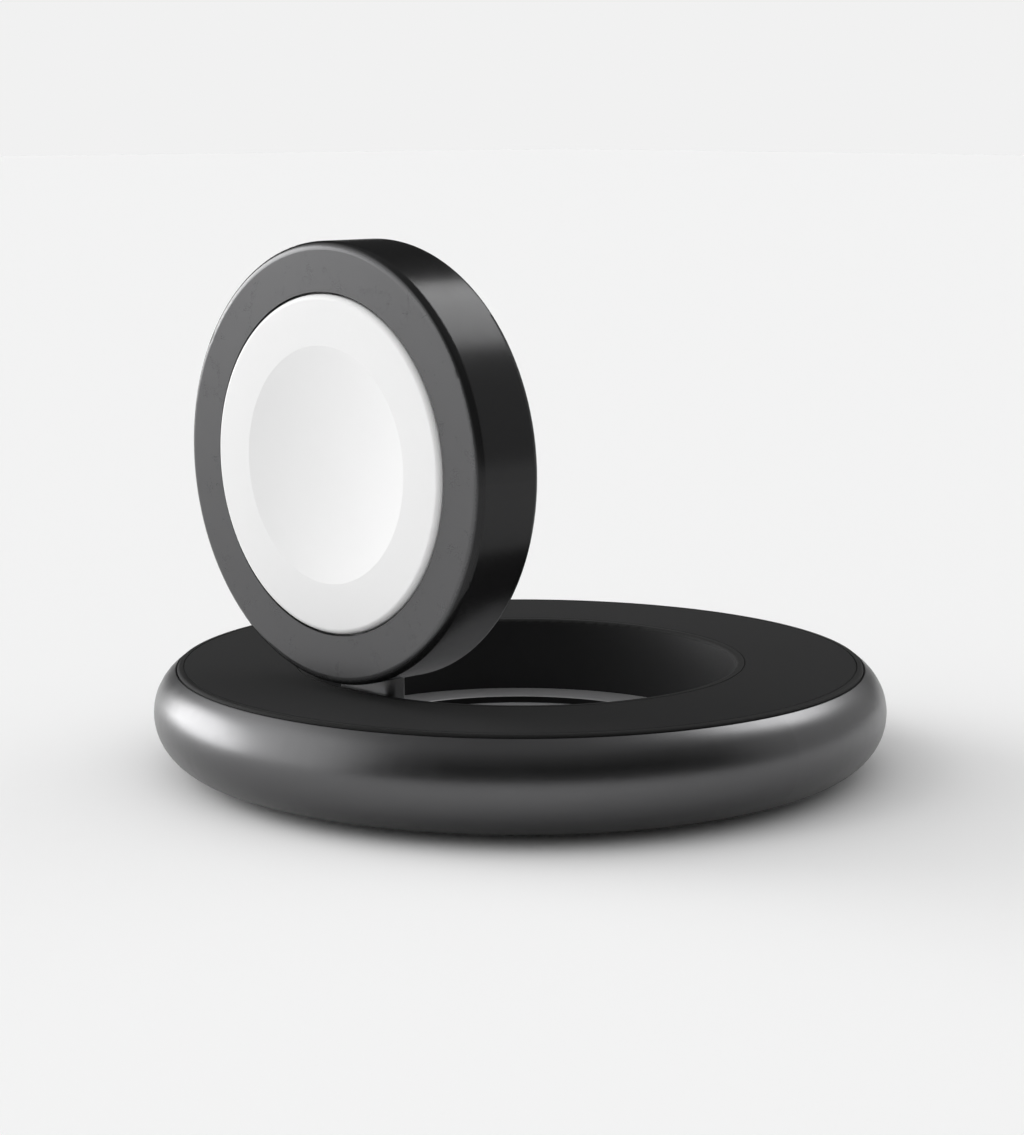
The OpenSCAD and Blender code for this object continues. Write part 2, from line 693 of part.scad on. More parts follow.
// Carrier that presses the module and the cap against the back of the metal face
module module_carrier() color("#26262a") in_puck() difference() {
    union() {
        rod(flange_r, flange_back + laid_fit, carrier_back);
        for (angle = carrier_angles) carrier_ear(angle);
        for (angle = [0, 180]) at(angle, stake_ring_r)
            rod(stake_r, carrier_back - 0.1, puck_board_back + 0.2);
    }
    translate([0, -coil_out, 0]) rod(notch_w / 2, 0, puck_t);
    rod(core_out + fit, 0, core_back);
    rod(yoke_r + fit, 0, puck_t);
    for (angle = carrier_angles) at(angle, boss_ring_r) rod(small_shank_r + shank_clear, 0, puck_t);
}

module carrier_ear(angle) {
    at(angle, boss_ring_r) rod(boss_r - 0.2, core_back, carrier_back);
    rotate(angle) box(flange_r - 0.5, boss_ring_r, -boss_r + 0.2, boss_r - 0.2, core_back, carrier_back);
}

module carrier_screws() color("silver") in_puck() for (angle = carrier_angles)
    at(angle, boss_ring_r) translate([0, 0, carrier_back]) mirror([0, 0, 1])
        screw(small_head_r, small_head_h, small_shank_r, carrier_t + 1.6);

module puck_board() color("darkgreen") in_puck() difference() {
    rod(puck_board_r, puck_board_front, puck_board_back);
    rod(yoke_r - 1, 0, puck_t);
    for (angle = [0, 180]) at(angle, stake_ring_r) rod(stake_r + fit, 0, puck_t);
}

module puck_chip() color("#151515") in_puck()
    box(-1.5, 1.5, -9.5, -6.5, puck_board_back, puck_board_back + 0.6);

module tuning_capacitors() color("tan") in_puck() for (x = [-6 : 3 : 6])
    translate([x, 7, 0]) box(-1, 1, -0.6, 0.6, puck_board_back, puck_board_back + 0.7);

base_shell();
top_cover();
top_pad();
well_dish();
bottom_cover();
foot_ring();
base_screws();
steel_weights();
main_board();
board_screws();
inlet_shell();
inlet_tongue();
driver_chip();
power_coil();
board_capacitors();
lead_socket();
lead_plug();
base_lead();
hinge_bracket();
hinge_screws();
hinge_pin();
friction_washers();
hinge_arm();
arm_screws();
arm_lead();
puck_shell();
puck_back();
charge_cap();
charge_coil();
ferrite_core();
centre_magnet();
magnet_yoke();
module_carrier();
carrier_screws();
puck_board();
puck_chip();
tuning_capacitors();
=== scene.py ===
import json
import math

import bpy
from mathutils import Matrix, Vector


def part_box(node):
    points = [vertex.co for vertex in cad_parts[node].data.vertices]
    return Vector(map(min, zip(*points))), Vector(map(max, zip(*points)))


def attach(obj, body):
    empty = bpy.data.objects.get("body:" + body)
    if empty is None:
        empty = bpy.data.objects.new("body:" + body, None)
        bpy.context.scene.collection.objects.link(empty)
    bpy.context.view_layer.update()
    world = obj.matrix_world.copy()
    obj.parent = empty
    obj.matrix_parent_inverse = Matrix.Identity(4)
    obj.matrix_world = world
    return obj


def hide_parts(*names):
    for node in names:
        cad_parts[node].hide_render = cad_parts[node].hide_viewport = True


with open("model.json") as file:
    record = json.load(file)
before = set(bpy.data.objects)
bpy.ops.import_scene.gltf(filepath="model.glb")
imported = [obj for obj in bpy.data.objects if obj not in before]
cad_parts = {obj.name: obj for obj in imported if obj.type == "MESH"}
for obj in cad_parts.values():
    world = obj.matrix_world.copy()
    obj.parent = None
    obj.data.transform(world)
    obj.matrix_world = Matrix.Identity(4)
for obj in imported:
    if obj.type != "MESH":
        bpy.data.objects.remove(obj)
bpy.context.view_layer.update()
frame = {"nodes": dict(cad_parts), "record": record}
nodes = frame["nodes"]
mm = 0.001
print("frame loaded,", len(nodes), "nodes")

# Camera: where the photograph was taken from, in the frame of the stand
camera = {
    "place": Vector((181.09, -175.41, 60.17)) * mm,
    "azimuth": 46.087,
    "down": 8.333,
    "lens": 87.23,
    "sensor": 36,
    "shiftY": -0.0471,
    "clip": (0.01, 20),
}


def makeCamera():
    data = bpy.data.cameras.new("camera")
    data.lens = camera["lens"]
    data.sensor_width = camera["sensor"]
    data.shift_y = camera["shiftY"]
    data.clip_start, data.clip_end = camera["clip"]
    obj = bpy.data.objects.new("camera", data)
    obj.location = camera["place"]
    obj.rotation_euler = (math.radians(90 - camera["down"]), 0, math.radians(camera["azimuth"]))
    bpy.context.scene.collection.objects.link(obj)
    bpy.context.scene.camera = obj


makeCamera()
print("camera ready")


# Short forms for building node trees
def addNode(tree, kind, inputs=None, **settings):
    node = tree.nodes.new(kind)
    for name, value in settings.items():
        setattr(node, name, value)
    for name, value in (inputs or {}).items():
        if isinstance(value, bpy.types.NodeSocket):
            tree.links.new(value, node.inputs[name])
        else:
            node.inputs[name].default_value = value
    return node


def maths(tree, operation, *values):
    node = tree.nodes.new("ShaderNodeMath")
    node.operation = operation
    for socket, value in zip(node.inputs, values):
        if isinstance(value, bpy.types.NodeSocket):
            tree.links.new(value, socket)
        else:
            socket.default_value = value
    return node.outputs[0]


def vector(tree, x=0.0, y=0.0, z=0.0):
    return addNode(tree, "ShaderNodeCombineXYZ", inputs={"X": x, "Y": y, "Z": z}).outputs["Vector"]


def along(tree, place, axis):
    return addNode(tree, "ShaderNodeSeparateXYZ", inputs={"Vector": place}).outputs[axis]


def between(tree, value, low, high, start=0.0, end=1.0):
    node = addNode(tree, "ShaderNodeMapRange", inputs={
        "Value": value, "From Min": start, "From Max": end, "To Min": low, "To Max": high,
    })
    return node.outputs["Result"]


def grey(value):
    return (value, value, value, 1)


# Studio: a dim room with a soft box at the left, a smaller one high at the right, a wide fill from above,
# and pale walls. Azimuths are counted from straight ahead of the camera, to the right. A lamp that is
# mirrored shows in metal, and one that spreads lights the dull surfaces and the floor.
studio = {
    "background": 0.88,
    "backdropHeight": -8,
    "backdropEdge": (10, 14),
    "room": 0.03,
    "floorColour": 0.88,
    "floorRoughness": 0.9,
    "floorSize": 6.0,
}
walls = {
    "leftWall": {"azimuth": -83, "height": 15, "edge": (25, 54), "level": 1.5},
    "rightWall": {"azimuth": 66, "height": 15, "edge": (5, 50), "level": 0.48},
    "ceiling": {"azimuth": 0, "height": 90, "edge": (5, 60), "level": 0.25},
}
lamps = {
    "leftSoftbox": {
        "azimuth": -62, "height": 6, "angle": 44, "strength": 2.15, "mirrored": True, "spread": True,
    },
    "topSoftbox": {
        "azimuth": 50, "height": 45, "angle": 32, "strength": 1.08, "mirrored": True, "spread": False,
    },
    "overheadFill": {
        "azimuth": 185, "height": 80, "angle": 150, "strength": 1.66, "mirrored": False, "spread": True,
    },
}


def fromCameraSide(azimuth, height):
    turn = math.radians(camera["azimuth"] - azimuth)
    rise = math.radians(height)
    return Vector((-math.sin(turn) * math.cos(rise), math.cos(turn) * math.cos(rise), math.sin(rise)))


def makeLamps():
    for name, one in lamps.items():
        data = bpy.data.lights.new(name, "SUN")
        data.energy = one["strength"]
        data.angle = math.radians(one["angle"])
        obj = bpy.data.objects.new(name, data)
        towards = fromCameraSide(one["azimuth"], one["height"])
        obj.rotation_euler = towards.to_track_quat("Z", "Y").to_euler()
        obj.visible_glossy = one["mirrored"]
        obj.visible_diffuse = one["spread"]
        bpy.context.scene.collection.objects.link(obj)


def glow(tree, direction, one, level):
    near, far = (math.cos(math.radians(edge)) for edge in one["edge"])
    aim = addNode(tree, "ShaderNodeVectorMath", operation="DOT_PRODUCT", inputs={0: direction})
    aim.inputs[1].default_value = fromCameraSide(one["azimuth"], one["height"])
    node = addNode(tree, "ShaderNodeMapRange", interpolation_type="SMOOTHERSTEP", inputs={
        "Value": aim.outputs["Value"], "From Min": far, "From Max": near, "To Min": 0.0, "To Max": level,
    })
    return node.outputs["Result"]


def makeWorld():
    world = bpy.data.worlds.new("studioRoom")
    bpy.context.scene.world = world
    world.use_nodes = True
    tree = world.node_tree
    tree.nodes.clear()
    direction = addNode(tree, "ShaderNodeTexCoord").outputs["Generated"]
    room = studio["room"]
    for one in walls.values():
        room = maths(tree, "ADD", room, glow(tree, direction, one, one["level"]))
    # The pale backdrop stands behind the object, and shows to the camera and in metal
    rays = addNode(tree, "ShaderNodeLightPath")
    place = {"azimuth": 0, "height": studio["backdropHeight"], "edge": studio["backdropEdge"]}
    mirrored = maths(tree, "MAXIMUM", rays.outputs["Is Glossy Ray"], rays.outputs["Is Transmission Ray"])
    seen = maths(tree, "MULTIPLY", mirrored, glow(tree, direction, place, 1.0))
    seen = maths(tree, "MAXIMUM", rays.outputs["Is Camera Ray"], seen)
    level = addNode(tree, "ShaderNodeMix", data_type="FLOAT", inputs={
        "Factor": seen, "A": room, "B": studio["background"],
    })
    shade = addNode(tree, "ShaderNodeBackground", inputs={"Color": level.outputs["Result"], "Strength": 1.0})
    addNode(tree, "ShaderNodeOutputWorld", inputs={"Surface": shade.outputs["Background"]})


def makeFloor():
    half = studio["floorSize"] / 2
    corners = [(-half, -half, 0), (half, -half, 0), (half, half, 0), (-half, half, 0)]
    mesh = bpy.data.meshes.new("floor")
    mesh.from_pydata(corners, [], [(0, 1, 2, 3)])
    floor = bpy.data.objects.new("floor", mesh)
    bpy.context.scene.collection.objects.link(floor)
    material = bpy.data.materials.new("paleFloor")
    material.use_nodes = True
    shader = material.node_tree.nodes["Principled BSDF"]
    shader.inputs["Base Color"].default_value = grey(studio["floorColour"])
    shader.inputs["Roughness"].default_value = studio["floorRoughness"]
    shader.inputs["Specular IOR Level"].default_value = 0.0
    mesh.materials.append(material)


makeLamps()
makeWorld()
makeFloor()
bpy.context.scene.view_settings.view_transform = "Standard"
print("studio ready")


# Materials. Sizes in them are in metres, and patterns follow the object's own coordinates.
# "mottle" is how dark and how light the colour gets, a "...Rough" pair is added to the roughness,
# and "relief" is how strong the bumps are, and how deep.
softSpan = (0.3, 0.7)  # the part of its range that a soft noise fills


def newMaterial(name):
    material = bpy.data.materials.new(name)
    material.use_nodes = True
    tree = material.node_tree
    tree.nodes.clear()
    shader = addNode(tree, "ShaderNodeBsdfPrincipled")
    addNode(tree, "ShaderNodeOutputMaterial", inputs={"Surface": shader.outputs["BSDF"]})
    place = addNode(tree, "ShaderNodeTexCoord").outputs["Object"]
    return material, tree, shader, place


def noise(tree, place, size, detail=3.0, roughness=0.5):
    node = addNode(tree, "ShaderNodeTexNoise", inputs={
        "Vector": place, "Scale": 1 / size, "Detail": detail, "Roughness": roughness,
    })
    return node.outputs["Fac"]


def cells(tree, place, size):
    node = addNode(tree, "ShaderNodeTexVoronoi", inputs={"Vector": place, "Scale": 1 / size})
    return node.outputs["Distance"]


def stretched(tree, place, scale):
    node = addNode(tree, "ShaderNodeMapping", inputs={"Vector": place, "Scale": scale})
    return node.outputs["Vector"]


def waveScale(pitch):
    return 2 * math.pi / 20 / pitch  # at a scale of 1 a wave is 2 pi / 20 long


def tone(colour, factor=1.0):
    return tuple(min(1.0, c * factor) for c in colour) + (1,)


def blend(tree, share, low, high):
    node = addNode(tree, "ShaderNodeMix", data_type="RGBA", inputs={"Factor": share, "A": low, "B": high})
    return node.outputs["Result"]


def mottled(tree, share, colour, mottle):
    low, high = mottle
    return blend(tree, share, tone(colour, low), tone(colour, high))


def added(tree, *values):
    total = values[0]
    for value in values[1:]:
        total = maths(tree, "ADD", total, value)
    return total


def relief(tree, shader, height, strength, depth):
    bump = addNode(tree, "ShaderNodeBump", inputs={"Height": height, "Strength": strength, "Distance": depth})
    tree.links.new(bump.outputs["Normal"], shader.inputs["Normal"])


def setLook(tree, shader, colour, roughness, metallic=0.0, specular=0.5):
    tree.links.new(colour, shader.inputs["Base Color"])
    tree.links.new(roughness, shader.inputs["Roughness"])
    shader.inputs["Metallic"].default_value = metallic
    shader.inputs["Specular IOR Level"].default_value = specular


# Blasted and anodised aluminium: a fine even grain under a faint cloudiness of the dye
anodised = {
    "dark_aluminium": {"colour": (0.138, 0.138, 0.1405), "metallic": 1.0, "roughness": 0.33},
    "puck_aluminium": {"colour": (0.101, 0.101, 0.103), "metallic": 0.7, "roughness": 0.29},
}
blasting = {
    "grain": 0.09 * mm, "cloud": 7 * mm, "rubbed": 1.6 * mm, "mottle": (0.96, 1.04),
    "rubbedRough": (-0.015, 0.015), "grainRough": (-0.03, 0.03), "specular": 0.2,
    "relief": (0.07, 0.006 * mm),
}
# The puck's side wall is glossier than its face, and its colour is darkened there as painted shade; the
# ring's colour is darkened towards the bottom as painted shade
puckSideShade = {"from": -23.27 * mm, "edge": 0.15 * mm, "darker": 0.29, "glossier": -0.07}
ringShadeBelow = {"low": 2.5 * mm, "high": 6.5 * mm, "darker": 0.7}


def makeAnodised(name):
    material, tree, shader, place = newMaterial(name)
    one = anodised[name]
    grain = noise(tree, place, blasting["grain"], detail=1.5)
    cloud = noise(tree, place, blasting["cloud"], detail=4.0)
    rubbed = noise(tree, place, blasting["rubbed"])
    rough = added(tree, between(tree, rubbed, *blasting["rubbedRough"], *softSpan),
                  between(tree, grain, *blasting["grainRough"]), one["roughness"])
    colour = mottled(tree, cloud, one["colour"], blasting["mottle"])
    if name == "puck_aluminium":
        # Painted shade: the side wall behind the face gets a darker colour, and is also made glossier
        start = puckSideShade["from"]
        side = between(tree, along(tree, place, "Y"), 0.0, 1.0, start, start + puckSideShade["edge"])
        colour = blend(tree, side, colour, tone(one["colour"], puckSideShade["darker"]))
        rough = added(tree, rough, maths(tree, "MULTIPLY", side, puckSideShade["glossier"]))
    else:
        # Painted shade: the ring's colour darkens towards its underside
        below = between(tree, along(tree, place, "Z"), 1.0, 0.0, ringShadeBelow["low"], ringShadeBelow["high"])
        colour = blend(tree, below, colour, tone(one["colour"], ringShadeBelow["darker"]))
    setLook(tree, shader, colour, rough, one["metallic"], blasting["specular"])
    relief(tree, shader, grain, *blasting["relief"])
    return material


# Turned dish: fine rings left by the tool, and painted shade that makes the riser between the seat and the
# floor nearly black
dish = {
    "light": (0.38, 0.38, 0.387), "dark": (0.006, 0.006, 0.006), "mottle": (0.94, 1.06), "cloud": 5 * mm,
    "pitch": 0.12 * mm, "waver": 0.3, "riserShade": (1.87 * mm, 2.5 * mm), "riserEdge": 0.03 * mm,
    "metallic": 0.45, "roughness": (0.42, 0.52), "relief": (0.1, 0.01 * mm),
}


def makeTurned(name):
    material, tree, shader, place = newMaterial(name)
    rings = addNode(tree, "ShaderNodeTexWave", wave_type="RINGS", rings_direction="Z", inputs={
        "Vector": place, "Scale": waveScale(dish["pitch"]), "Distortion": dish["waver"], "Detail": 1.0,
    }).outputs["Fac"]
    cloud = noise(tree, place, dish["cloud"])
    height = along(tree, place, "Z")
    # Painted shade: the riser in the step of the well is coloured nearly black
    low, high = dish["riserShade"]
    above = between(tree, height, 0.0, 1.0, low, low + dish["riserEdge"])
    below = between(tree, height, 1.0, 0.0, high - dish["riserEdge"], high)
    riserShade = maths(tree, "MULTIPLY", above, below)
    colour = blend(tree, riserShade, mottled(tree, cloud, dish["light"], dish["mottle"]), tone(dish["dark"]))
    setLook(tree, shader, colour, between(tree, rings, *dish["roughness"]), dish["metallic"])
    relief(tree, shader, rings, *dish["relief"])
    return material


# Moulded black cover: satin wall of the well, and flat black borders beside the pad
cover = {
    "wall": (0.0105, 0.0105, 0.011), "border": (0.005, 0.005, 0.005), "mottle": (0.85, 1.15),
    "spark": 0.14 * mm, "cloud": 4 * mm, "borderLow": 9.2 * mm, "borderEdge": 0.08 * mm,
    "roughness": (0.46, 0.54), "borderRougher": 0.28, "specular": 0.35, "relief": (0.15, 0.012 * mm),
}


def makeCover(name):
    material, tree, shader, place = newMaterial(name)
    spark = cells(tree, place, cover["spark"])
    cloud = noise(tree, place, cover["cloud"])
    low = cover["borderLow"]
    border = between(tree, along(tree, place, "Z"), 0.0, 1.0, low, low + cover["borderEdge"])
    wall = mottled(tree, cloud, cover["wall"], cover["mottle"])
    rough = added(tree, between(tree, spark, *cover["roughness"]),
                  between(tree, border, 0.0, cover["borderRougher"]))
    setLook(tree, shader, blend(tree, border, wall, tone(cover["border"])), rough, specular=cover["specular"])
    relief(tree, shader, spark, *cover["relief"])
    return material


# Moulded plastics with a spark-eroded surface
mouldings = {
    "bottom_plastic": {"colour": (0.02, 0.02, 0.021), "roughness": 0.55, "spark": 0.22 * mm, "relief": 0.3},
    "back_plastic": {"colour": (0.014, 0.014, 0.015), "roughness": 0.45, "spark": 0.14 * mm, "relief": 0.2},
    "carrier_plastic": {"colour": (0.02, 0.02, 0.022), "roughness": 0.5, "spark": 0.16 * mm, "relief": 0.15},
    "inlet_plastic": {"colour": (0.012, 0.012, 0.012), "roughness": 0.45, "spark": 0.1 * mm, "relief": 0.15},
    "socket_plastic": {"colour": (0.6, 0.57, 0.48), "roughness": 0.45, "spark": 0.1 * mm, "relief": 0.12},
    "plug_plastic": {"colour": (0.7, 0.7, 0.67), "roughness": 0.42, "spark": 0.1 * mm, "relief": 0.12},
    "chip_plastic": {"colour": (0.015, 0.015, 0.015), "roughness": 0.55, "spark": 0.06 * mm, "relief": 0.25},
}
mould = {
    "cloud": 5 * mm, "mottle": (0.9, 1.1), "sparkRough": (-0.04, 0.05), "cloudRough": (-0.04, 0.04),
    "depth": 0.02 * mm,
}


def makeMoulded(name):
    material, tree, shader, place = newMaterial(name)
    one = mouldings[name]
    spark = cells(tree, place, one["spark"])
    cloud = noise(tree, place, mould["cloud"], detail=4.0)
    rough = added(tree, between(tree, spark, *mould["sparkRough"]),
                  between(tree, cloud, *mould["cloudRough"], *softSpan), one["roughness"])
    setLook(tree, shader, mottled(tree, cloud, one["colour"], mould["mottle"]), rough)
    relief(tree, shader, spark, one["relief"], mould["depth"])
    return material


# Soft pad: a suede-like skin that scatters light at a flat angle
pad = {
    "colour": (0.0105, 0.0105, 0.0108), "mottle": (0.75, 1.25), "nap": 0.16 * mm, "wiped": 11 * mm,
    "napShare": 0.6, "wipedShare": 0.4, "roughness": (0.8, 0.92), "specular": 0.08,
    "sheen": 0.035, "sheenRoughness": 0.5, "relief": (0.35, 0.03 * mm),
}


def makeSoftPad(name):
    material, tree, shader, place = newMaterial(name)
    nap = noise(tree, place, pad["nap"], detail=4.0, roughness=0.65)
    wiped = noise(tree, place, pad["wiped"])
    shade = added(tree, maths(tree, "MULTIPLY", nap, pad["napShare"]),
                  maths(tree, "MULTIPLY", wiped, pad["wipedShare"]))
    setLook(tree, shader, mottled(tree, shade, pad["colour"], pad["mottle"]),
            between(tree, nap, *pad["roughness"]), specular=pad["specular"])
    shader.inputs["Sheen Weight"].default_value = pad["sheen"]
    shader.inputs["Sheen Roughness"].default_value = pad["sheenRoughness"]
    relief(tree, shader, nap, *pad["relief"])
    return material


# Foot: moulded rubber, dull where it has stood
foot = {
    "colour": (0.012, 0.012, 0.012), "dusty": (0.03, 0.029, 0.028), "pores": 0.2 * mm, "patches": 3 * mm,
    "dust": 0.5, "dustSpan": (0.2, 0.45), "roughness": (0.7, 0.88), "specular": 0.3,
    "relief": (0.3, 0.03 * mm),
}


def makeRubber(name):
    material, tree, shader, place = newMaterial(name)
    pores = noise(tree, place, foot["pores"], detail=4.0, roughness=0.6)
    patches = noise(tree, place, foot["patches"], detail=4.0)
    dust = between(tree, maths(tree, "MULTIPLY", patches, pores), 0.0, foot["dust"], *foot["dustSpan"])
    setLook(tree, shader, blend(tree, dust, tone(foot["colour"]), tone(foot["dusty"])),
            between(tree, pores, *foot["roughness"]), specular=foot["specular"])
    relief(tree, shader, pores, *foot["relief"])
    return material


# White cap: dense satin plastic, a little glossier where the watch rubs it
cap = {
    "colour": (0.75, 0.75, 0.75), "mottle": (0.985, 1.01), "grain": 0.08 * mm, "rubbed": 6 * mm,
    "roughness": (0.48, 0.55), "specular": 0.3, "relief": (0.05, 0.004 * mm),
}


def makeCap(name):
    material, tree, shader, place = newMaterial(name)
    grain = noise(tree, place, cap["grain"], detail=1.0)
    rubbed = noise(tree, place, cap["rubbed"], detail=4.0)
    setLook(tree, shader, mottled(tree, rubbed, cap["colour"], cap["mottle"]),
            between(tree, rubbed, *cap["roughness"]), specular=cap["specular"])
    relief(tree, shader, grain, *cap["relief"])
    return material


# Plain metals: brushed or ground along one direction, given by how far the pattern is stretched
metals = {
    "screw_steel": {"colour": (0.5, 0.5, 0.51), "roughness": 0.3, "stretch": (1, 1, 6)},
    "inlet_steel": {"colour": (0.55, 0.55, 0.56), "roughness": 0.26, "stretch": (1, 9, 1)},
    "pin_steel": {"colour": (0.55, 0.55, 0.56), "roughness": 0.22, "stretch": (12, 1, 1)},
    "washer_steel": {"colour": (0.5, 0.49, 0.46), "roughness": 0.3, "stretch": (8, 1, 1)},
    "arm_steel": {"colour": (0.33, 0.33, 0.335), "roughness": 0.36, "stretch": (1, 1, 1)},
    "yoke_steel": {"colour": (0.4, 0.4, 0.41), "roughness": 0.33, "stretch": (1, 5, 1)},
    "magnet_nickel": {"colour": (0.6, 0.59, 0.56), "roughness": 0.14, "stretch": (1, 1, 1)},
    "contactGold": {"colour": (0.75, 0.55, 0.24), "roughness": 0.22, "stretch": (1, 7, 1)},
}
brushing = {
    "line": 0.35 * mm, "stain": 2.5 * mm, "mottle": (0.9, 1.08),
    "lineRough": (-0.06, 0.06), "stainRough": (-0.03, 0.03), "relief": (0.12, 0.01 * mm),
}


def makeMetal(name):
    material, tree, shader, place = newMaterial(name)
    one = metals[name]
    lines = noise(tree, stretched(tree, place, one["stretch"]), brushing["line"], detail=4.0, roughness=0.6)
    stain = noise(tree, place, brushing["stain"])
    rough = added(tree, between(tree, lines, *brushing["lineRough"]),
                  between(tree, stain, *brushing["stainRough"]), one["roughness"])
    setLook(tree, shader, mottled(tree, stain, one["colour"], brushing["mottle"]), rough, metallic=1.0)
    relief(tree, shader, lines, *brushing["relief"])
    return material


# Cast, rolled and sintered pieces: a lumpy skin with darker hollows
castings = {
    "bracket_zinc": {"colour": (0.16, 0.16, 0.165), "metallic": 1.0, "roughness": 0.48, "lump": 0.5 * mm},
    "weight_steel": {"colour": (0.3, 0.3, 0.32), "metallic": 1.0, "roughness": 0.42, "lump": 1.2 * mm},
    "ferrite": {"colour": (0.05, 0.05, 0.052), "metallic": 0.0, "roughness": 0.6, "lump": 0.18 * mm},
}
skinned = {
    "pitSize": 0.6, "pitDark": (0.6, 1.0), "pitSpan": (0.0, 0.4), "mottle": (0.7, 1.25),
    "skinRough": (0.1, -0.06), "relief": (0.3, 0.03 * mm),
}


def makeCast(name):
    material, tree, shader, place = newMaterial(name)
    one = castings[name]
    lumps = noise(tree, place, one["lump"], detail=5.0, roughness=0.65)
    pits = cells(tree, place, one["lump"] * skinned["pitSize"])
    skin = maths(tree, "MULTIPLY", lumps, between(tree, pits, *skinned["pitDark"], *skinned["pitSpan"]))
    low, high = (one["roughness"] + more for more in skinned["skinRough"])
    setLook(tree, shader, mottled(tree, skin, one["colour"], skinned["mottle"]),
            between(tree, skin, low, high), one["metallic"])
    relief(tree, shader, skin, *skinned["relief"])
    return material


# Circuit board: solder mask over copper tracks that jog sideways, with tinned pads
board = {
    "mask": (0.006, 0.05, 0.022), "track": (0.014, 0.1, 0.045), "tin": (0.55, 0.55, 0.54),
    "trackPitch": 1.3 * mm, "trackEdge": (0.62, 0.7), "bend": 6 * mm, "bendStep": 0.08, "jog": 9 * mm,
    "padSpacing": 2.2 * mm, "padEdge": (0.12, 0.16), "tinMetallic": 0.9, "roughness": (0.38, 0.3),
    "relief": (0.3, 0.02 * mm),
}


def makeBoard(name):
    material, tree, shader, place = newMaterial(name)
    steps = maths(tree, "SNAP", noise(tree, place, board["bend"], detail=0.0), board["bendStep"])
    jog = vector(tree, maths(tree, "MULTIPLY", steps, board["jog"]))
    shifted = addNode(tree, "ShaderNodeVectorMath", operation="ADD", inputs={0: place, 1: jog})
    tracks = addNode(tree, "ShaderNodeTexWave", wave_type="BANDS", bands_direction="X", inputs={
        "Vector": shifted.outputs["Vector"], "Scale": waveScale(board["trackPitch"]), "Distortion": 0.0,
    }).outputs["Fac"]
    track = between(tree, tracks, 0.0, 1.0, *board["trackEdge"])
    spots = between(tree, cells(tree, place, board["padSpacing"]), 1.0, 0.0, *board["padEdge"])
    laid = blend(tree, track, tone(board["mask"]), tone(board["track"]))
    setLook(tree, shader, blend(tree, spots, laid, tone(board["tin"])),
            between(tree, track, *board["roughness"]))
    tree.links.new(maths(tree, "MULTIPLY", spots, board["tinMetallic"]), shader.inputs["Metallic"])
    relief(tree, shader, added(tree, track, spots), *board["relief"])
    return material


# Ceramic capacitors and the lead's jacket
smallParts = {
    "capacitor_ceramic": {"colour": (0.35, 0.22, 0.12), "roughness": 0.4, "size": 0.12 * mm},
    "lead_jacket": {"colour": (0.02, 0.02, 0.021), "roughness": 0.5, "size": 0.25 * mm},
}
specked = {"cloudSize": 9, "mottle": (0.85, 1.15), "speckRough": (-0.05, 0.07), "relief": (0.15, 0.01 * mm)}


def makeSmallPart(name):
    material, tree, shader, place = newMaterial(name)
    one = smallParts[name]
    specks = noise(tree, place, one["size"])
    cloud = noise(tree, place, one["size"] * specked["cloudSize"], detail=2.0)
    low, high = (one["roughness"] + more for more in specked["speckRough"])
    setLook(tree, shader, mottled(tree, cloud, one["colour"], specked["mottle"]),
            between(tree, specks, low, high))
    relief(tree, shader, specks, *specked["relief"])
    return material


# Enamelled copper wire
wire = {
    "colour": (0.62, 0.26, 0.1), "mottle": (0.85, 1.1), "enamel": 0.5 * mm, "roughness": (0.2, 0.3),
    "coat": 0.6, "coatRoughness": 0.12, "relief": (0.05, 0.01 * mm),
}


def makeWire(name):
    material, tree, shader, place = newMaterial(name)
    enamel = noise(tree, place, wire["enamel"])
    setLook(tree, shader, mottled(tree, enamel, wire["colour"], wire["mottle"]),
            between(tree, enamel, *wire["roughness"]), metallic=1.0)
    shader.inputs["Coat Weight"].default_value = wire["coat"]
    shader.inputs["Coat Roughness"].default_value = wire["coatRoughness"]
    relief(tree, shader, enamel, *wire["relief"])
    return material


makers = {
    "dish_aluminium": makeTurned, "cover_plastic": makeCover, "soft_pad": makeSoftPad,
    "foot_rubber": makeRubber, "cap_plastic": makeCap, "board_laminate": makeBoard, "coil_copper": makeWire,
}
for group, maker in (
    (anodised, makeAnodised), (mouldings, makeMoulded), (metals, makeMetal), (castings, makeCast),
    (smallParts, makeSmallPart),
):
    for finishName in group:
        makers[finishName] = maker
slotOf = {row["node"]: row["material_slot"] for row in frame["record"]["subparts"]}
finishNames = sorted(set(slotOf.values())) + ["contactGold"]
finishes = {finishName: makers[finishName](finishName) for finishName in finishNames}


def paintNodes():
    for name, obj in nodes.items():
        for place in obj.material_slots:
            place.material = finishes[slotOf[name]]


paintNodes()
print("materials ready,", len(finishes))


# Pieces that repeat or follow a rule are grown with Geometry Nodes. Every number in "sizes" becomes a named
# input of the tree, and "Places" are the points of the mesh that the tree works on.
def newGrowth(name, sizes):
    tree = bpy.data.node_groups.new(name, "GeometryNodeTree")
    tree.interface.new_socket("Geometry", in_out="OUTPUT", socket_type="NodeSocketGeometry")
    tree.interface.new_socket("Places", in_out="INPUT", socket_type="NodeSocketGeometry")
    for label, value in sizes.items():
        kind = "NodeSocketInt" if isinstance(value, int) else "NodeSocketFloat"
        tree.interface.new_socket(label, in_out="INPUT", socket_type=kind)
    return tree, tree.nodes.new("NodeGroupInput").outputs


def onPoints(tree, points, geometry):
    node = addNode(tree, "GeometryNodeInstanceOnPoints", inputs={"Points": points, "Instance": geometry})
    return node.outputs["Instances"]


def finishGrowth(tree, geometry, material):
    real = addNode(tree, "GeometryNodeRealizeInstances", inputs={"Geometry": geometry})
    painted = addNode(tree, "GeometryNodeSetMaterial", inputs={
        "Geometry": real.outputs["Geometry"], "Material": material,
    })
    addNode(tree, "NodeGroupOutput", inputs={"Geometry": painted.outputs["Geometry"]})


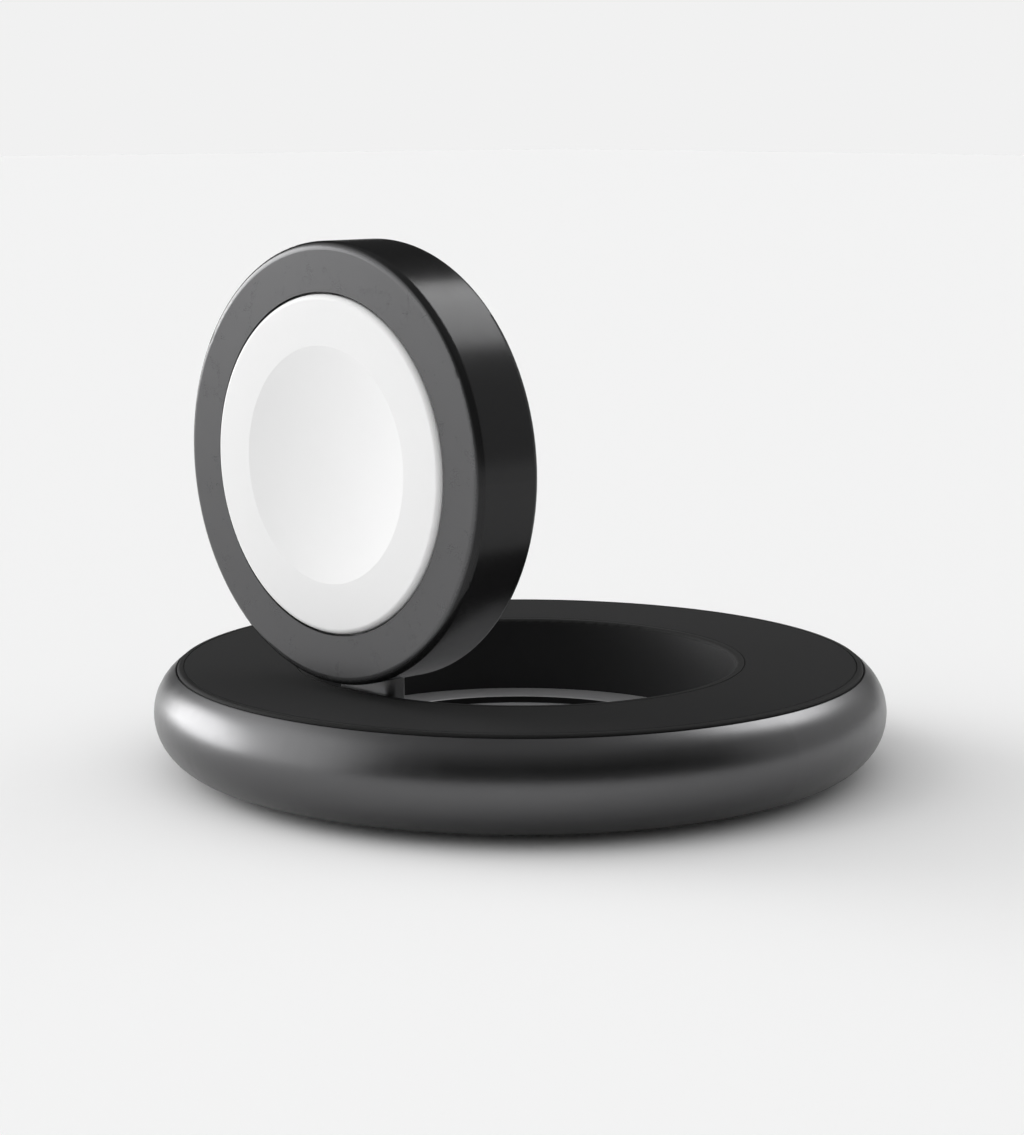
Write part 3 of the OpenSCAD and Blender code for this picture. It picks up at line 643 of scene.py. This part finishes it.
def grow(name, tree, sizes, place, points=()):
    seed = bpy.data.meshes.new(name + "Source")
    seed.from_pydata(points, [], [])
    source = bpy.data.objects.new(name + "Source", seed)
    bpy.context.scene.collection.objects.link(source)
    modifier = source.modifiers.new("growth", "NODES")
    modifier.node_group = tree
    for item in tree.interface.items_tree:
        if item.in_out == "INPUT" and item.name in sizes:
            modifier[item.identifier] = sizes[item.name]
    result = source.evaluated_get(bpy.context.evaluated_depsgraph_get())
    mesh = bpy.data.meshes.new_from_object(result)
    mesh.transform(place)
    bpy.data.objects.remove(source)
    mesh.name = name
    piece = bpy.data.objects.new(name, mesh)
    bpy.context.scene.collection.objects.link(piece)
    return piece


# Charging cap: turned about the puck's axis, with a round hollow and a rounded edge
capForm = {
    "radius": 14.75 * mm, "hollow": 10.35 * mm, "depth": 0.9 * mm, "proud": 0.35 * mm, "edge": 0.5 * mm,
    # radius and depth of each corner, in millimetres
    "flange": ((14.75, 1.23), (15.25, 1.23), (15.25, 1.9), (13.85, 1.9), (13.85, 1.5)),
    "steps": 16, "around": 144, "crease": 8.5,
}


def capProfile():
    one = capForm
    bowl = (one["hollow"] ** 2 + one["depth"] ** 2) / (2 * one["depth"])
    points = []
    for step in range(one["steps"] + 1):
        r = one["hollow"] * step / one["steps"]
        points.append((r, one["depth"] - one["proud"] - bowl + math.sqrt(bowl ** 2 - r ** 2)))
    for step in range(one["steps"] + 1):
        turn = math.pi / 2 * step / one["steps"]
        points.append((one["radius"] - one["edge"] * (1 - math.sin(turn)),
                       one["edge"] * (1 - math.cos(turn)) - one["proud"]))
    return points + [(r * mm, depth * mm) for r, depth in one["flange"]] + [(0.0, one["flange"][-1][1] * mm)]


def turned(name, profile, middle, around):
    points, rings = [], []
    for r, depth in profile:
        count = around if r > 0 else 1
        rings.append([len(points) + k for k in range(count)] * (around // count))
        for k in range(count):
            turn = 2 * math.pi * k / around
            points.append((middle.x + r * math.sin(turn), middle.y + depth, middle.z + r * math.cos(turn)))
    faces = []
    for inner, outer in zip(rings, rings[1:]):
        for k in range(around):
            n = (k + 1) % around
            corners = [inner[k], inner[n], outer[n], outer[k]]
            faces.append([c for i, c in enumerate(corners) if c not in corners[:i]])
    mesh = bpy.data.meshes.new(name)
    mesh.from_pydata(points, [], faces)
    mesh.shade_smooth()
    piece = bpy.data.objects.new(name, mesh)
    bpy.context.scene.collection.objects.link(piece)
    return piece


def makeTurnedCap():
    low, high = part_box("charge_cap")
    middle = Vector(((low[0] + high[0]) / 2, low[1] + capForm["proud"], (low[2] + high[2]) / 2))
    piece = turned("turnedCap", capProfile(), middle, capForm["around"])
    piece.data.set_sharp_from_angle(angle=math.radians(capForm["crease"]))
    piece.data.materials.append(finishes["cap_plastic"])
    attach(piece, "puck")
    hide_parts("charge_cap")


# Screws: a head with a six-sided socket and a threaded shank, in the places of the CAD screws. All sizes are
# in millimetres. "start" is where the head meets the shank, in z on the base and in y on the puck, and
# "places" are the other two. "head" is the radius at the top, the radius at the shank and the height, and
# "shank" is the radius and the length.
screws = {
    "base_screws": {
        "body": "base", "start": 1.6, "head": (1.7, 1.0, 0.6), "shank": (1.0, 5.6),
        "places": ((20.069, 14.052), (-20.069, 14.052), (-20.069, -14.052), (20.069, -14.052)),
    },
    "board_screws": {
        "body": "base", "start": 3.0, "head": (1.3, 1.3, 0.6), "shank": (0.75, 3.0),
        "places": ((11.502, 21.632), (-11.502, 21.632)),
    },
    "hinge_screws": {
        "body": "base", "start": 5.3, "head": (1.3, 1.3, 0.6), "shank": (0.75, 3.0),
        "places": ((7.39, -23.6), (-7.39, -23.6)),
    },
    "arm_screws": {
        "body": "puck", "start": -18.1, "head": (1.0, 1.0, 0.6), "shank": (0.6, 3.2),
        "places": ((2.2, 13.15), (-2.2, 13.15)),
    },
    "carrier_screws": {
        "body": "puck", "start": -19.2, "head": (1.0, 1.0, 0.6), "shank": (0.6, 2.2),
        "places": ((15.74, 24.171), (-15.74, 24.171), (0.0, 46.65)),
    },
}
# Pitch and depth are counted in shank radii, the socket in head radii
thread = {"pitch": 0.55, "depth": 0.15, "perTurn": 8, "around": 24}
drive = {"width": 0.55, "depth": 0.35 * mm, "sides": 6}
screwHead = {"around": 48, "overlap": 0.4, "crease": 30}


def cone(tree, bottom, top, low, height, around, segments=1):
    node = addNode(tree, "GeometryNodeMeshCone", inputs={
        "Vertices": around, "Side Segments": segments, "Radius Bottom": bottom, "Radius Top": top,
        "Depth": height,
    })
    moved = addNode(tree, "GeometryNodeTransform", inputs={
        "Geometry": node.outputs["Mesh"], "Translation": vector(tree, z=low),
    })
    return moved.outputs["Geometry"]


# A point moves inwards by how far it is from the crest, which climbs one pitch in each turn
def carveThread(tree, shank, size):
    spot = addNode(tree, "GeometryNodeInputPosition").outputs["Position"]
    x, y, z = (along(tree, spot, axis) for axis in "XYZ")
    turn = maths(tree, "DIVIDE", maths(tree, "ARCTAN2", y, x), 2 * math.pi)
    phase = maths(tree, "FRACT", maths(tree, "SUBTRACT", maths(tree, "DIVIDE", z, size["pitch"]), turn))
    deepest = maths(tree, "MULTIPLY", size["groove"], -2.0)  # ping-pong gives at most a half
    groove = maths(tree, "MULTIPLY", maths(tree, "PINGPONG", phase, 0.5), deepest)
    outward = addNode(tree, "ShaderNodeVectorMath", operation="NORMALIZE", inputs={0: vector(tree, x, y)})
    offset = addNode(tree, "ShaderNodeVectorMath", operation="SCALE", inputs={
        0: outward.outputs["Vector"], "Scale": groove,
    })
    moved = addNode(tree, "GeometryNodeSetPosition", inputs={
        "Geometry": shank, "Offset": offset.outputs["Vector"],
    })
    return moved.outputs["Geometry"]


def combine(tree, operation, first, second):
    node = tree.nodes.new("GeometryNodeMeshBoolean")
    node.operation = operation
    node.solver = "MANIFOLD"
    # A union takes both meshes in its second input
    tree.links.new(first, node.inputs["Mesh 2" if operation == "UNION" else "Mesh 1"])
    tree.links.new(second, node.inputs["Mesh 2"])
    return node.outputs["Mesh"]


def screwSizes(one):
    top, neck, height = (value * mm for value in one["head"])
    radius, length = (value * mm for value in one["shank"])
    pitch = thread["pitch"] * radius
    return {
        "headTop": top, "headNeck": neck, "headHeight": height, "radius": radius, "length": length,
        "pitch": pitch, "groove": thread["depth"] * radius, "socket": drive["width"] * top,
        "socketDepth": drive["depth"], "segments": round(length / pitch * thread["perTurn"]),
    }


def screwTree(name, sizes):
    tree, size = newGrowth(name + "Thread", sizes)
    low = maths(tree, "MULTIPLY", size["headHeight"], -1.0)
    head = cone(tree, size["headTop"], size["headNeck"], low, size["headHeight"], screwHead["around"])
    inside = maths(tree, "MULTIPLY", size["headHeight"], -screwHead["overlap"])
    reach = maths(tree, "SUBTRACT", size["length"], inside)
    shank = cone(tree, size["radius"], size["radius"], inside, reach, thread["around"], size["segments"])
    whole = combine(tree, "UNION", head, carveThread(tree, shank, size))
    below = maths(tree, "SUBTRACT", low, size["socketDepth"])
    depth = maths(tree, "MULTIPLY", size["socketDepth"], 2.0)
    socket = cone(tree, size["socket"], size["socket"], below, depth, drive["sides"])
    whole = combine(tree, "DIFFERENCE", whole, socket)
    finishGrowth(tree, onPoints(tree, size["Places"], whole), finishes["screw_steel"])
    return tree


def makeScrews(name):
    one = screws[name]
    sizes = screwSizes(one)
    if one["body"] == "base":
        place = Matrix.Translation((0, 0, one["start"] * mm))
    else:
        place = Matrix.Translation((0, one["start"] * mm, 0)) @ Matrix.Rotation(math.radians(90), 4, "X")
    points = [(x * mm, y * mm, 0) for x, y in one["places"]]
    piece = grow(name + "Threaded", screwTree(name, sizes), sizes, place, points)
    piece.data.shade_smooth()
    piece.data.set_sharp_from_angle(angle=math.radians(screwHead["crease"]))
    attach(piece, one["body"])
    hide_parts(name)


# Contacts of the power inlet: a row of gold strips on each side of the tongue
contacts = {
    "count": 12, "pitch": 0.5 * mm, "width": 0.26 * mm, "length": 3.6 * mm, "thickness": 0.05 * mm,
    "spacing": 0.72 * mm,
}
contactMiddle = Vector((0, 30.15, 5.4)) * mm


def makeContacts():
    tree, size = newGrowth("contactRows", contacts)
    strip = addNode(tree, "GeometryNodeMeshCube", inputs={
        "Size": vector(tree, size["width"], size["length"], size["thickness"]),
    })
    start = maths(tree, "MULTIPLY", maths(tree, "SUBTRACT", size["count"], 1.0), size["pitch"])
    start = maths(tree, "MULTIPLY", start, -0.5)
    rows = addNode(tree, "GeometryNodeJoinGeometry")
    for side in (-0.5, 0.5):
        line = addNode(tree, "GeometryNodeMeshLine", inputs={
            "Count": size["count"], "Offset": vector(tree, size["pitch"]),
            "Start Location": vector(tree, start, 0.0, maths(tree, "MULTIPLY", size["spacing"], side)),
        })
        row = onPoints(tree, line.outputs["Mesh"], strip.outputs["Mesh"])
        tree.links.new(row, rows.inputs["Geometry"])
    finishGrowth(tree, rows.outputs["Geometry"], finishes["contactGold"])
    piece = grow("inletContacts", tree, contacts, Matrix.Translation(contactMiddle))
    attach(piece, "base")


# Charging coil: layers of enamelled wire wound in flat spirals
coil = {
    "layers": 4, "turns": 18.0, "inner": 6.06 * mm, "outer": 11.5 * mm, "wire": 0.145 * mm,
    "rise": 0.305 * mm,
}
coilSteps = {"perTurn": 64, "section": 7}


def makeCoil():
    low, high = (Vector(corner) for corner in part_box("charge_coil"))
    tree, size = newGrowth("coilWinding", coil)
    spiral = addNode(tree, "GeometryNodeCurveSpiral", inputs={
        "Resolution": coilSteps["perTurn"], "Rotations": size["turns"], "Start Radius": size["inner"],
        "End Radius": size["outer"], "Height": 0.0,
    })
    section = addNode(tree, "GeometryNodeCurvePrimitiveCircle", inputs={
        "Resolution": coilSteps["section"], "Radius": size["wire"],
    })
    layer = addNode(tree, "GeometryNodeCurveToMesh", inputs={
        "Curve": spiral.outputs["Curve"], "Profile Curve": section.outputs["Curve"], "Fill Caps": True,
    })
    smooth = addNode(tree, "GeometryNodeSetShadeSmooth", inputs={"Geometry": layer.outputs["Mesh"]})
    thickness = maths(tree, "MULTIPLY", maths(tree, "SUBTRACT", size["layers"], 1.0), size["rise"])
    line = addNode(tree, "GeometryNodeMeshLine", inputs={
        "Count": size["layers"], "Offset": vector(tree, 0.0, 0.0, size["rise"]),
        "Start Location": vector(tree, 0.0, 0.0, maths(tree, "MULTIPLY", thickness, -0.5)),
    })
    stack = onPoints(tree, line.outputs["Mesh"], smooth.outputs["Geometry"])
    finishGrowth(tree, stack, finishes["coil_copper"])
    place = Matrix.Translation((low + high) / 2) @ Matrix.Rotation(math.radians(-90), 4, "X")
    piece = grow("chargeCoilWinding", tree, coil, place)
    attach(piece, "puck")
    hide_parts("charge_coil")


makeTurnedCap()
for screwName in screws:
    makeScrews(screwName)
makeContacts()
makeCoil()
print("grown pieces ready")
